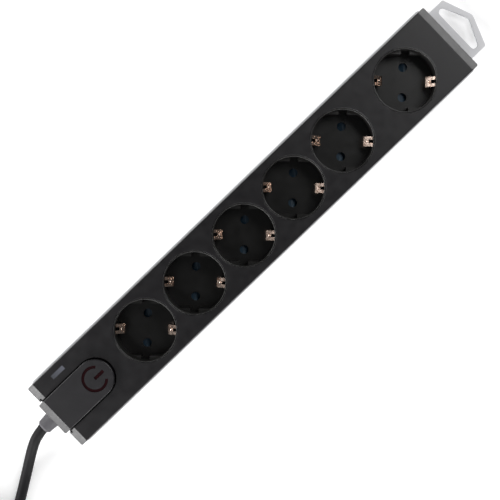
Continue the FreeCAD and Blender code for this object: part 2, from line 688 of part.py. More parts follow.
def lead_phase():
    y = 4.0
    feed = [(-152.9, 1.6, 13.6), (-148.0, 2.4, 13.2), (-143.0, 3.8, 11.6), (SWITCH_X - 8.5, y, 11.0)]
    out = [(SWITCH_X + 8.5, y, 11.0), (-117.5, 4.6, 10.4), (-114.6, 6.0, 9.2), (-110.5, PIN_OFFSET, 8.9)]
    return Part.makeCompound([lead(feed, 0.85, "lead_phase_in"), lead(out, 0.85, "lead_phase_out")])


def lead_neutral():
    y = -4.0
    feed = [(-152.9, -1.6, 13.6), (-148.0, -2.4, 13.2), (-143.0, -3.8, 11.6), (SWITCH_X - 8.5, y, 11.0)]
    out = [(SWITCH_X + 8.5, y, 11.0), (-117.5, -4.6, 10.4), (-114.6, -6.0, 9.2), (-110.5, -PIN_OFFSET, 8.9)]
    return Part.makeCompound([lead(feed, 0.85, "lead_neutral_in"), lead(out, 0.85, "lead_neutral_out")])


def lead_earth():
    route = [(-152.9, 0.0, 10.8), (-147.0, 0.1, 9.4), (-139.0, -0.2, 6.6), (-129.0, 0.2, 6.4),
             (-121.5, 0.0, 8.8), (-117.0, 0.1, 11.9), (-112.15, 0.0, 12.6)]
    return lead(route, 0.85, "lead_earth")


# ---------------------------------------------------------------- key

def key_blank():
    """The key as a solid paddle, before it is hollowed and tilted."""
    half = KEY_W / 2
    slope = [
        (KEY_END, KEY_LOW - 2.4, 0.6), (KEY_ARC_X + half, KEY_LOW - 2.4, 0),
        (KEY_ARC_X + half, KEY_TOP, KEY_EDGE), (KEY_END + KEY_BEVEL_RUN, KEY_TOP, 0.8),
        (KEY_END, KEY_TOP - KEY_BEVEL_DROP, 0.8),
    ]
    across = [(-half, 20, 0), (half, 20, 0), (half, KEY_TOP, KEY_EDGE), (-half, KEY_TOP, KEY_EDGE)]
    corners = [(KEY_END, -half, 1.3), (KEY_ARC_X, -half, 0), (KEY_ARC_X, half, 0), (KEY_END, half, 1.3)]
    end = plate(corners, "xy", 0, 60)
    paddle = plate(slope, "xz", -half, half).common(end)
    paddle = paddle.common(plate(across, "yz", KEY_END, KEY_ARC_X))
    nose = revolved([(0, 20, 0), (half, 20, 0), (half, KEY_TOP, KEY_EDGE), (0, KEY_TOP, 0)])
    nose = moved(nose, KEY_ARC_X, 0, 0).common(block(KEY_ARC_X, 0, -half, half, 0, 60))
    return paddle.fuse(nose).removeSplitter()


def symbol_outline(grow):
    """Ring with a gap and a bar in it, grown by some clearance; a prism to cut with."""
    ring = rod(0, 0, 0, 60, SYMBOL_R + grow).cut(rod(0, 0, -1, 61, SYMBOL_R - SYMBOL_LINE - grow))
    reach = 2 * SYMBOL_R
    angle = math.radians(SYMBOL_GAP)
    tip = (reach * math.cos(angle), reach * math.sin(angle))
    wedge = plate([(0, 0, 0), (tip[0], -tip[1], 0), (tip[0], tip[1], 0)], "xy", -1, 61)
    half = SYMBOL_BAR_W / 2 + grow
    bar = block(0 - grow, SYMBOL_BAR + grow, -half, half, 0, 60)
    return [moved(s, KEY_ARC_X, 0, 0) for s in (ring.cut(wedge), bar)]


def tilted(shape):
    return turned(shape, -KEY_TILT, (PIVOT_X, 0, PIVOT_Z), (0, 1, 0))


def power_key():
    half = KEY_W / 2
    body = key_blank()
    under = block(KEY_END - 1, 0, -half, half, 0, KEY_LOW)
    under = under.cut(block(KEY_END - 1, LEAD_END - 0.45, -half, half, 0, KEY_LOW))
    body = body.cut(under)
    room = key_plan(-KEY_SHELL, KEY_END + KEY_BEVEL_RUN + 0.2)
    body = body.cut(between(room, 0, KEY_TOP - KEY_SHELL))
    barrel = rod_y(PIVOT_X, -6.9, 6.9, PIVOT_Z, 2.6)
    web = block(PIVOT_X - 1.2, PIVOT_X + 1.2, -6.9, 6.9, PIVOT_Z, KEY_TOP - KEY_SHELL + 0.5)
    foot = block(SWITCH_X - 1.2, SWITCH_X + 1.2, -3.5, 3.5, 35.55, KEY_TOP - KEY_SHELL + 0.5)
    ribs = mirrored(block(-158.0, -130.0, 9.6, 10.6, 38.5, KEY_TOP - KEY_SHELL + 0.5))
    body = joined([body, barrel, web, foot] + ribs)
    body = body.cut(rod_y(PIVOT_X, -12, 12, PIVOT_Z, PIVOT_R + 0.04))
    sunk = [between(s, KEY_TOP - KEY_SHELL - 1.5, 60) for s in symbol_outline(0.04)]
    return tilted(body.cut(joined(sunk)).removeSplitter())


def key_lens():
    """Red light guide: its bed lies under the key's skin, its ring and bar come up through it."""
    low = KEY_TOP - KEY_SHELL - 1.4
    raised = [between(s, low, KEY_TOP - SYMBOL_SUNK) for s in symbol_outline(0)]
    bed = moved(rod(0, 0, low - 1.0, low + 0.3, SYMBOL_R + 0.6), KEY_ARC_X, 0, 0)
    bed = bed.cut(block(SWITCH_X - 1.5, SWITCH_X + 3, -3.8, 3.8, 0, 60))
    return tilted(joined(raised + [bed]))


def key_pin():
    return rod_y(PIVOT_X, -9.3, 9.3, PIVOT_Z, PIVOT_R)


# ---------------------------------------------------------------- hanger

def hanger():
    """Flat loop on two legs. Lugs on the legs stop it when it is pulled out."""
    inner_bar = 171.0
    lug = HANGER_HALF + 0.95
    lug_x = (162.0, TRAY_LOOP_END - TRAY_WALL - 0.2)
    half = [
        (LEG_END, HANGER_INNER, 0.8), (LEG_END, HANGER_HALF, 0.8), (lug_x[0], HANGER_HALF, 0),
        (lug_x[0] + 0.95, lug, 0), (lug_x[1], lug, 0), (lug_x[1], HANGER_HALF, 0),
        (HANGER_SHOULDER, HANGER_HALF, 1.5),
    ]
    corners = half + [(HANGER_TIP, 0, 4.0)] + [(x, -y, r) for x, y, r in half[::-1]]
    corners += [(inner_bar, -HANGER_INNER, 2.0), (inner_bar, HANGER_INNER, 2.0)]
    top = HANGER_LOW + HANGER_T
    loop = plate(corners, "xy", HANGER_LOW, top)
    hole = [(181.9, -16.9, 2.2), (186.0, -16.9, 2.2), (193.7, 0, 3.0), (186.0, 16.9, 2.2), (181.9, 16.9, 2.2)]
    loop = loop.cut(plate(hole, "xy", HANGER_LOW - 1, top + 1))
    outer_edges = [e for e in loop.Edges if is_loop_edge(e, top)]
    return loop.makeFillet(0.35, outer_edges)


def is_loop_edge(edge, top):
    """Edges of the loop's visible faces, which are eased where a hand takes hold."""
    box = edge.BoundBox
    flat = box.ZLength < 0.01 and (abs(box.ZMin - top) < 0.01 or abs(box.ZMin - HANGER_LOW) < 0.01)
    return flat and box.XMin > 178.0


def hanger_guide():
    """Plate over the hanger that keeps it down and away from the live parts."""
    low = HANGER_LOW + HANGER_T + 2 * HANGER_CLEAR
    wide = ROOM_W
    across = block(147.0, TRAY_LOOP_END - TRAY_WALL - 0.1, -wide, wide, low, low + GUIDE_T)
    arms = mirrored(block(GUIDE_END, 148.0, 12.6, wide, low, low + GUIDE_T))
    holes = mirrored(rod(*GUIDE_SCREW, low - 1, low + 3, 1.3))
    return joined([across] + arms).cut(joined(holes))


def guide_screws():
    one = turned(screw(2.3, 1.6, 1.05, 5.6), 180, (0, 0, 0), (1, 0, 0))
    top = HANGER_LOW + HANGER_T + 2 * HANGER_CLEAR + GUIDE_T
    return Part.makeCompound([moved(one, GUIDE_SCREW[0], side * GUIDE_SCREW[1], top) for side in (1, -1)])


# ---------------------------------------------------------------- lead and plug

def cable_boot():
    """Rubber bend relief: a tapered sleeve outside, a neck in the wall and a flange inside."""
    behind = -LEAD_END - WALL - GAP
    end = behind - BOOT_FLANGE
    along = [
        (CORD_R + 0.03, -BOOT_TIP, 0), (BOOT_TIP_R - 0.9, -BOOT_TIP, 0), (BOOT_TIP_R, -BOOT_TIP - 1.2, 0.4),
        (BOOT_ROOT_R, -TRAY_LEAD_END, 0), (BOOT_ROOT_R, behind, 0),
        (BOOT_FLANGE_R, behind, 0), (BOOT_FLANGE_R, end, 0.4), (CORD_R + 0.03, end, 0),
    ]
    sleeve = revolved(along)
    sleeve = turned(sleeve, -90, (0, 0, 0), (0, 1, 0))
    return moved(sleeve, 0, 0, PARTING)


def cord_inner():
    return rod_x(BOOT_TIP, CORD_INNER_END, 0, PARTING, CORD_R)


def cable_clamp():
    bridge = block(-163.5, -156.5, -10.3, 10.3, PARTING + 0.6, 17.6)
    bridge = bridge.cut(rod_x(-170, -150, 0, PARTING, CORD_R + 0.02))
    return bridge.cut(joined(mirrored(rod(-160, 7.4, 10, 20, 1.6))))


def clamp_screws():
    one = turned(screw(2.6, 1.9, 1.25, 12.0), 180, (0, 0, 0), (1, 0, 0))
    return Part.makeCompound([moved(one, -160.0, y, 17.6) for y in (7.4, -7.4)])


def cord_run():
    return tube(CORD_ROUTE, CORD_R, "cord_run")


def cord_tail():
    return tube(TAIL_ROUTE, CORD_R, "cord_tail")


def cord_coil():
    """Outside of the hank that the spare lead is wound into: two turns wide, two high."""
    def oval(radius, low, high):
        ends = [rod(x, HANK_Y, low, high, radius) for x in (HANK_FROM, HANK_TO)]
        return joined(ends + [block(HANK_TO, HANK_FROM, HANK_Y - radius, HANK_Y + radius, low, high)])
    return oval(HANK_OUTER, 0, HANK_TOP).cut(oval(HANK_INNER, -1, HANK_TOP + 1)).removeSplitter()


def plug_place(shape):
    """From the plug's own axis, +Z to the pins, to where it lies with its pins along -X."""
    placed = turned(turned(shape, PLUG_ROLL), -90, (0, 0, 0), (0, 1, 0))
    return moved(placed, *TAIL_ROUTE[-1])


def plug_body():
    body = revolved([
        (0, PLUG_BACK, 0), (7.6, PLUG_BACK, 1.0), (9.6, 25.0, 6.0), (15.6, 33.0, 6.0),
        (17.4, PLUG_FRONT, 1.0), (PLUG_R, PLUG_FRONT, 0.8), (PLUG_R, PLUG_FACE, 0.8), (0, PLUG_FACE, 0),
    ])
    cuts = []
    for side in (1, -1):
        x0, x1 = sorted((side * 16.0, side * 25))
        flat = block(x0, x1, -20, 20, PLUG_FRONT + 1.5, PLUG_FACE + 1)
        rib = block(x0, x1, -2.4, 2.4, PLUG_FRONT, PLUG_FACE + 1)
        cuts.append(flat.cut(rib))
        y0, y1 = sorted((side * 15.6, side * 25))
        cuts.append(block(-3.4, 3.4, y0, y1, PLUG_FRONT + 1.5, PLUG_FACE + 1))
        for step in range(3):
            y0, y1 = sorted((side * (15.0 + 0.7 * step), side * 22))
            cuts.append(block(-5.0, 5.0, y0, y1, 33.2 + 2.6 * step, 34.4 + 2.6 * step))
    cuts.append(rod(0, 10.0, PLUG_FACE - 14, PLUG_FACE + 1, 2.5))
    for side in (1, -1):
        cuts.append(rod(side * PIN_SPACING / 2, 0, PLUG_FACE - 8, PLUG_FACE + 1, PIN_ROOT_R + 0.02))
    cuts.append(rod(0, 0, PLUG_BACK - 1, PLUG_BACK + 5, 5.4))
    return plug_place(body.cut(joined(cuts)).removeSplitter())


def plug_boot():
    """Ribbed sleeve behind the plug."""
    sleeve = revolved([
        (0, 0, 0), (4.3, 0, 0.6), (5.35, 14.0, 0), (5.35, PLUG_BACK + 4.9, 0), (0, PLUG_BACK + 4.9, 0),
    ])
    rings = []
    for z in (3.4, 6.2, 9.0, 11.8):
        rings.append(rod(0, 0, z, z + 1.1, 7).cut(rod(0, 0, z - 1, z + 3, 3.9 + 0.06 * z)))
    return plug_place(sleeve.cut(joined(rings)))


def plug_pins():
    tip = PLUG_FACE + PIN_LENGTH
    pin = revolved([
        (0, PLUG_FACE - 7.8, 0), (PIN_ROOT_R, PLUG_FACE - 7.8, 0), (PIN_ROOT_R, PLUG_FACE, 0),
        (PIN_R, PLUG_FACE, 0), (PIN_R, tip, 1.6), (0, tip, 0),
    ])
    pins = [moved(pin, side * PIN_SPACING / 2, 0, 0) for side in (1, -1)]
    return Part.makeCompound([plug_place(p) for p in pins])


def plug_earth():
    """Two earth strips in the plug's side grooves, bent over its face."""
    line = [(15.95, PLUG_FRONT + 2.0), (15.95, PLUG_FACE + 0.35), (12.9, PLUG_FACE + 0.35)]
    strip = band(line, 0.6, 0.5, "yz", -2.6, 2.6)
    return Part.makeCompound([plug_place(strip), plug_place(turned(strip, 180))])


# ---------------------------------------------------------------- export

def nodes():
    single = [
        bottom_tray, top_cover, feet, cover_screws, marking_inlay, shutter_springs, earth_rail,
        contact_carrier, switch_housing, switch_plunger, plunger_spring, switch_terminals,
        indicator_lamp, lead_phase, lead_neutral, lead_earth, power_key, key_lens, key_pin,
        hanger, hanger_guide, guide_screws, cable_boot, cord_inner, cable_clamp, clamp_screws, cord_run,
        cord_coil, cord_tail, plug_body, plug_boot, plug_pins, plug_earth,
    ]
    for make in single:
        yield make.__name__, make()
    yield "phase_rail", rail(1)
    yield "neutral_rail", rail(-1)
    for make in (socket_cup, shutter, shutter_plate, earth_bracket):
        for index in range(len(SOCKET_X)):
            yield f"{make.__name__}_{index + 1}", make(index)


def main():
    os.makedirs("parts", exist_ok=True)
    for name, shape in nodes():
        if not shape.isValid() or not shape.Solids:
            print("CHECK", name, "valid", shape.isValid(), "solids", len(shape.Solids))
        shape.exportStep(f"parts/{name}.step")
        print(name, "solids", len(shape.Solids), "volume", round(shape.Volume / 1000, 2), "cm3")


main()
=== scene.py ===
"""Looks of a desk power strip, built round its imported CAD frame. Metres, +X to the hanging loop, +Z up."""
import json
import math

import bmesh
import bpy
from mathutils import Matrix, Vector


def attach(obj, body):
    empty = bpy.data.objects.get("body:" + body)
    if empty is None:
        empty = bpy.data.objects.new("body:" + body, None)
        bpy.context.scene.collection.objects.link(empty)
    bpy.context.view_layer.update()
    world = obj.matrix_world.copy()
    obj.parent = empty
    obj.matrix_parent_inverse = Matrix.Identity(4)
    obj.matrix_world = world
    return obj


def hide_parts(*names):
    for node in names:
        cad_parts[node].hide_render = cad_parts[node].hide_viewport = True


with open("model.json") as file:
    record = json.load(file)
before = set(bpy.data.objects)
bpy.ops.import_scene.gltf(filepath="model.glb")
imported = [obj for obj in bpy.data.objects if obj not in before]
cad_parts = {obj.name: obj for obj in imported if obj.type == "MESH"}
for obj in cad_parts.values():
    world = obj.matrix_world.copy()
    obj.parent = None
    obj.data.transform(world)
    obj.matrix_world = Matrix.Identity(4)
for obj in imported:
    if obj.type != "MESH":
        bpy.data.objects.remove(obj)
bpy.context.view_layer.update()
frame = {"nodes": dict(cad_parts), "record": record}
MM = 0.001

# Camera: nearly straight down, the strip running up to the right
CAMERA_AT = Vector((0.0159, 0.0072, 0.891))
CAMERA_AIM = Vector((-0.0112, -0.00924, 0.042))
CAMERA_TURN = 43.89     # degrees from the picture's horizontal to the strip
LENS = 97.8

# Lead: its route out of the boot, as in the CAD model
CORD_R = 3.5 * MM
ROUTE = [
    (-0.1894, 0.0, 0.0125),
    (-0.1965, -0.0009, 0.0116),
    (-0.2045, -0.0044, 0.0088),
    (-0.2130, -0.0094, 0.0058),
    (-0.2230, -0.0156, 0.0038),
    (-0.2345, -0.0228, 0.0035),
    (-0.2465, -0.0302, 0.0035),
    (-0.2585, -0.0352, 0.0035),
    (-0.2700, -0.0364, 0.0035),
    (-0.2820, -0.0366, 0.0035),
]
HANK_FROM = -0.282      # centres of the hank's two rounded ends
HANK_TO = -0.392
HANK_Y = -0.0084
HANK_R = 24.6 * MM      # of its ends, between its two turns side by side
HANK_STEP = 7.2 * MM    # between turns side by side
HANK_LIFT = 7.0 * MM    # between the two layers
POINTS_A_TURN = 36
POINTS_AN_END = 7       # of these, on each rounded end
STEP_IN = (0.66, 0.86)  # the stretches of turns where the lead moves to the inner lane,
STEP_UP = (1.48, 1.68)  # up to the second layer
STEP_OUT = (2.30, 2.48)  # and to the outer lane again
STRAP_A_X = -0.312      # the two straps round the hank, one on each side
STRAP_B_X = -0.356
TAIL = [
    (-0.3920, -0.0366, 0.0105),
    (-0.4040, -0.0359, 0.0112),
    (-0.4160, -0.0310, 0.0144),
    (-0.4280, -0.0246, 0.0176),
    (-0.4400, -0.0210, 0.0185),
]
INLAY_FROM = -0.1566    # the marking inlay's two ends
INLAY_TO = -0.1466


# ---------------------------------------------------------------- camera, floor, light

def camera():
    forward = (CAMERA_AIM - CAMERA_AT).normalized()
    turn = math.radians(CAMERA_TURN)
    right = Vector((math.cos(turn), -math.sin(turn), 0))
    right = (right - forward * right.dot(forward)).normalized()
    up = right.cross(forward)
    data = bpy.data.cameras.new("camera")
    data.lens = LENS
    data.sensor_width = 36
    data.clip_start, data.clip_end = 0.01, 20
    holder = bpy.data.objects.new("camera", data)
    holder.matrix_world = Matrix((
        (right.x, up.x, -forward.x, CAMERA_AT.x),
        (right.y, up.y, -forward.y, CAMERA_AT.y),
        (right.z, up.z, -forward.z, CAMERA_AT.z),
        (0, 0, 0, 1),
    ))
    bpy.context.scene.collection.objects.link(holder)
    bpy.context.scene.camera = holder


def soft_box(name, azimuth, elevation, distance, size, watts, aim=(0, 0, 0.03)):
    """An area light. Azimuth is counted from +X towards +Y."""
    data = bpy.data.lights.new(name, "AREA")
    data.shape = "RECTANGLE"
    data.size, data.size_y = size
    data.energy = watts
    a, e = math.radians(azimuth), math.radians(elevation)
    offset = Vector((math.cos(a) * math.cos(e), math.sin(a) * math.cos(e), math.sin(e))) * distance
    holder = bpy.data.objects.new(name, data)
    holder.location = Vector(aim) + offset
    holder.rotation_mode = "QUATERNION"
    holder.rotation_quaternion = (-offset).to_track_quat("-Z", "Y")
    bpy.context.scene.collection.objects.link(holder)


def lighting():
    world = bpy.data.worlds.new("studio")
    world.use_nodes = True
    world.node_tree.nodes["Background"].inputs["Color"].default_value = (1, 1, 1, 1)
    world.node_tree.nodes["Background"].inputs["Strength"].default_value = 0.07
    bpy.context.scene.world = world
    soft_box("light_low_lead_end", 183, 13, 1.1, (1.0, 0.36), 12)
    soft_box("light_low_loop_end", 0, 13, 1.1, (1.0, 0.36), 7)
    soft_box("light_side_a", 125, 22, 1.2, (1.2, 0.3), 13)
    soft_box("light_side_b", 236, 22, 1.2, (1.2, 0.3), 12)
    soft_box("light_over_loop_end", 0, 55, 0.88, (0.45, 0.3), 2.1)
    soft_box("light_over_lead_end", 180, 54, 0.89, (0.45, 0.3), 0.6)
    bpy.context.scene.view_settings.view_transform = "Standard"


def floor():
    size, thick = 3.0, 0.01
    mesh = bpy.data.meshes.new("floor")
    bm = bmesh.new()
    bmesh.ops.create_cube(bm, size=1)
    bmesh.ops.scale(bm, vec=(size, size, thick), verts=bm.verts)
    bmesh.ops.translate(bm, vec=(0, 0, -thick / 2), verts=bm.verts)
    bm.to_mesh(mesh)
    bm.free()
    piece = bpy.data.objects.new("floor", mesh)
    bpy.context.scene.collection.objects.link(piece)
    look = Look("floor_paper", (0.93, 0.93, 0.93), 0.9, specular=0.2)
    look.tint(look.noise(40 * MM, 2), (0.92, 0.92, 0.92), (0.94, 0.94, 0.94))
    look.relief(look.noise(0.8 * MM, 3), 0.02 * MM)
    look.set("Emission Color", (1, 1, 1, 1))
    look.set("Emission Strength", 0.22)
    mesh.materials.append(look.material)


# ---------------------------------------------------------------- materials

class Look:
    """A Principled material with short calls that add procedural detail. Sizes are in metres."""

    def __init__(self, name, colour, rough, metal=0.0, specular=0.5):
        self.material = bpy.data.materials.new(name)
        self.material.use_nodes = True
        self.tree = self.material.node_tree
        self.shader = self.tree.nodes["Principled BSDF"]
        self.shader.inputs["Base Color"].default_value = (*colour, 1)
        self.shader.inputs["Roughness"].default_value = rough
        self.shader.inputs["Metallic"].default_value = metal
        self.shader.inputs["Specular IOR Level"].default_value = specular
        self.place = self.tree.nodes.new("ShaderNodeTexCoord").outputs["Object"]
        self.bump = None

    def set(self, socket, value):
        self.shader.inputs[socket].default_value = value

    def node(self, kind, *links, **values):
        made = self.tree.nodes.new(kind)
        for socket, value in values.items():
            made.inputs[socket].default_value = value
        for output, socket in links:
            self.tree.links.new(output, made.inputs[socket])
        return made

    def stretched(self, stretch, turn=0.0):
        """Object coordinates turned about Z by an angle in degrees, then squeezed along each axis."""
        place = self.place
        if turn:
            place = self.node("ShaderNodeMapping", (place, "Vector")).outputs[0]
            place.node.inputs["Rotation"].default_value[2] = math.radians(turn)
        spot = self.node("ShaderNodeMapping", (place, "Vector"))
        spot.inputs["Scale"].default_value = stretch
        return spot.outputs[0]

    def noise(self, size, detail=2.0, stretch=None, turn=0.0, rough=0.5):
        place = self.stretched(stretch, turn) if stretch else self.place
        made = self.node("ShaderNodeTexNoise", (place, "Vector"), Scale=1 / size, Detail=detail)
        made.inputs["Roughness"].default_value = rough
        return made.outputs["Fac"]

    def cells(self, size):
        made = self.node("ShaderNodeTexVoronoi", (self.place, "Vector"), Scale=1 / size)
        return made.outputs["Distance"]

    def tint(self, factor, *colours, spread=(0.3, 0.7)):
        """Colour that runs through the given colours as factor runs over spread."""
        ramp = self.node("ShaderNodeValToRGB", (factor, "Fac"))
        stops = ramp.color_ramp.elements
        while len(stops) < len(colours):
            stops.new(0.5)
        low, high = spread
        for i, colour in enumerate(colours):
            stops[i].position = low + (high - low) * i / (len(colours) - 1)
            stops[i].color = (*colour, 1)
        self.tree.links.new(ramp.outputs["Color"], self.shader.inputs["Base Color"])
        return ramp.outputs["Color"]

    def over(self, below, factor, colour):
        """One more colour laid over the base colour where factor is 1."""
        mix = self.tree.nodes.new("ShaderNodeMix")
        mix.data_type = "RGBA"
        self.tree.links.new(factor, mix.inputs[0])
        self.tree.links.new(below, mix.inputs[6])
        mix.inputs[7].default_value = (*colour, 1)
        self.tree.links.new(mix.outputs[2], self.shader.inputs["Base Color"])
        return mix.outputs[2]

    def ranged(self, factor, low, high, spread=(0.3, 0.7)):
        made = self.node("ShaderNodeMapRange", (factor, "Value"))
        made.inputs["From Min"].default_value, made.inputs["From Max"].default_value = spread
        made.inputs["To Min"].default_value, made.inputs["To Max"].default_value = low, high
        return made.outputs["Result"]

    def roughness(self, factor, low, high):
        self.tree.links.new(self.ranged(factor, low, high), self.shader.inputs["Roughness"])

    def relief(self, height, depth):
        made = self.node("ShaderNodeBump", (height, "Height"), Strength=1.0, Distance=depth)
        if self.bump:
            self.tree.links.new(self.bump, made.inputs["Normal"])
        self.bump = made.outputs["Normal"]
        self.tree.links.new(self.bump, self.shader.inputs["Normal"])


def shade(colour, share):
    return tuple(c * share for c in colour)


def moulded(name, colour, rough, depth=0.012 * MM, drift=0.12):
    """Injection-moulded plastic with a fine eroded texture, faint flow marks and a few dust specks."""
    look = Look(name, colour, rough)
    flow = look.noise(28 * MM, 3, stretch=(0.35, 1, 1))
    base = look.tint(flow, shade(colour, 1 - drift), shade(colour, 1 + drift))
    specks = look.ranged(look.noise(0.9 * MM, 1), 0, 1, spread=(0.70, 0.78))
    look.over(base, specks, shade(colour, 1.3))
    look.roughness(look.noise(6 * MM, 3), rough - 0.05, rough + 0.05)
    look.relief(look.noise(0.32 * MM, 3, rough=0.6), depth)
    look.relief(look.noise(14 * MM, 1), 0.03 * MM)
    return look.material


def satin(name, colour, rough):
    """Smooth moulded plastic: only a faint ripple and fine handling scratches."""
    look = Look(name, colour, rough)
    look.tint(look.noise(12 * MM, 3), shade(colour, 0.92), shade(colour, 1.08))
    look.roughness(look.noise(2.5 * MM, 4), rough - 0.07, rough + 0.08)
    look.relief(look.noise(1.2 * MM, 2), 0.006 * MM)
    look.relief(look.noise(0.4 * MM, 2, stretch=(0.08, 1, 1), turn=20), 0.002 * MM)
    return look.material


def rubber(name, colour):
    """Soft rubber: dull, a little dusty in its pores."""
    look = Look(name, colour, 0.62, specular=0.4)
    base = look.tint(look.noise(5 * MM, 4), shade(colour, 0.8), shade(colour, 1.25))
    pores = look.ranged(look.cells(0.35 * MM), 0, 1, spread=(0.0, 0.12))
    look.over(base, pores, shade(colour, 1.15))
    look.roughness(look.noise(3 * MM, 2), 0.55, 0.7)
    look.relief(look.noise(0.25 * MM, 3), 0.015 * MM)
    look.relief(look.noise(2.2 * MM, 2), 0.03 * MM)
    return look.material


def sheet_metal(name, colour, stain_and_shade, rough, grain_turn=0.0):
    """Rolled and stamped strip: grain one way, a few darker patches, fine scratches. The patches are stains,
    and on the earth clips painted brown shade.
    """
    look = Look(name, colour, rough, metal=1.0)
    grain = look.noise(0.35 * MM, 3, stretch=(0.06, 1, 1), turn=grain_turn)
    base = look.tint(grain, shade(colour, 0.86), colour, spread=(0.35, 0.65))
    # darker patches laid at random: stains, and on the earth clips painted shade in brown
    stain_and_shade_patches = look.ranged(look.noise(2.6 * MM, 3), 0, 0.7, spread=(0.52, 0.75))
    look.over(base, stain_and_shade_patches, stain_and_shade)
    look.roughness(look.noise(1.8 * MM, 2), rough - 0.04, rough + 0.06)
    look.relief(grain, 0.0008 * MM)
    look.relief(look.noise(3.0 * MM, 1), 0.006 * MM)
    return look.material


def wire_metal(name, colour, rough):
    look = Look(name, colour, rough, metal=1.0)
    look.tint(look.noise(1.0 * MM, 3), shade(colour, 0.75), colour)
    look.roughness(look.noise(0.6 * MM, 2), rough - 0.08, rough + 0.1)
    look.relief(look.noise(0.12 * MM, 2, stretch=(1, 1, 0.2)), 0.004 * MM)
    return look.material


def lens():
    """Dark red translucent plastic, unlit, in the key's symbol."""
    colour = (0.0085, 0.0008, 0.0014)
    look = Look("lens_red", colour, 0.5, specular=0.06)
    base = look.tint(look.noise(3 * MM, 3), shade(colour, 0.75), shade(colour, 1.3))
    look.over(base, look.ranged(look.noise(0.5 * MM, 2), 0, 0.6, spread=(0.6, 0.75)), (0.04, 0.008, 0.010))
    look.roughness(look.noise(2 * MM, 2), 0.45, 0.55)
    look.relief(look.noise(1.4 * MM, 2), 0.012 * MM)
    return look.material


def inlay():
    """Pale blue-grey matt inlay, lighter at its end nearest the sockets."""
    colour = (0.050, 0.052, 0.066)
    look = Look("inlay_blue_grey", colour, 0.6)
    along = look.node("ShaderNodeSeparateXYZ", (look.place, "Vector")).outputs["X"]
    fade = look.ranged(along, 0, 1, spread=(INLAY_FROM, INLAY_TO))
    base = look.tint(fade, shade(colour, 0.55), colour, shade(colour, 1.5), spread=(0, 1))
    look.over(base, look.ranged(look.noise(0.5 * MM, 2), 0, 0.5, spread=(0.5, 0.7)), (0.06, 0.085, 0.10))
    look.roughness(look.noise(1 * MM, 2), 0.55, 0.66)
    look.relief(look.noise(0.3 * MM, 2), 0.01 * MM)
    return look.material


def shutter_blue():
    colour = (0.012, 0.042, 0.075)
    look = Look("shutter_blue", colour, 0.38)
    look.tint(look.noise(3.0 * MM, 2), shade(colour, 0.78), shade(colour, 1.15))
    look.roughness(look.noise(0.8 * MM, 3), 0.3, 0.45)
    look.relief(look.noise(0.6 * MM, 2), 0.01 * MM)
    return look.material


def striped_lead():
    """Green-and-yellow earth lead: yellow stripes along a green core."""
    look = Look("lead_green_yellow", (0.1, 0.35, 0.05), 0.35)
    wave = look.node("ShaderNodeTexWave", (look.place, "Vector"), Scale=1 / (9 * MM), Distortion=1.5)
    wave.bands_direction = "Y"
    look.tint(wave.outputs["Fac"], (0.05, 0.26, 0.04), (0.62, 0.55, 0.03), spread=(0.48, 0.52))
    look.relief(look.noise(0.5 * MM, 2), 0.01 * MM)
    return look.material


def lamp_glass():
    look = Look("lamp_glass", (0.95, 0.85, 0.78), 0.05)
    look.set("Transmission Weight", 0.7)
    look.tint(look.noise(2 * MM, 2), (0.85, 0.70, 0.60), (0.97, 0.90, 0.85))
    look.relief(look.noise(1.0 * MM, 2), 0.01 * MM)
    return look.material


def sheath(name, colour):
    """Extruded round sheath: semi-matt, faint ripple of the laid cores, handling marks."""
    look = Look(name, colour, 0.55, specular=0.16)
    base = look.tint(look.noise(9 * MM, 3), shade(colour, 0.8), shade(colour, 1.25))
    look.over(base, look.ranged(look.noise(1.1 * MM, 2), 0, 1, spread=(0.68, 0.78)), shade(colour, 1.7))
    look.roughness(look.noise(4 * MM, 3), 0.46, 0.58)
    look.relief(look.noise(0.3 * MM, 3), 0.008 * MM)
    look.relief(look.noise(6 * MM, 2), 0.06 * MM)
    return look.material


def woven_strap():
    """Hook-and-loop tape: woven ground with a short nap."""
    look = Look("strap_fabric", (0.03, 0.03, 0.032), 0.85, specular=0.25)
    weft = look.node("ShaderNodeTexWave", (look.place, "Vector"), Scale=1 / (2.4 * MM), Distortion=0.6)
    warp = look.node("ShaderNodeTexWave", (look.place, "Vector"), Scale=1 / (2.4 * MM), Distortion=0.6)
    warp.bands_direction = "Y"
    look.tint(look.noise(0.5 * MM, 4), (0.018, 0.018, 0.019), (0.06, 0.06, 0.062))
    look.relief(weft.outputs["Fac"], 0.08 * MM)
    look.relief(warp.outputs["Fac"], 0.08 * MM)
    look.relief(look.noise(0.12 * MM, 3), 0.08 * MM)
    look.set("Sheen Weight", 0.3)
    look.set("Sheen Roughness", 0.5)
    return look.material


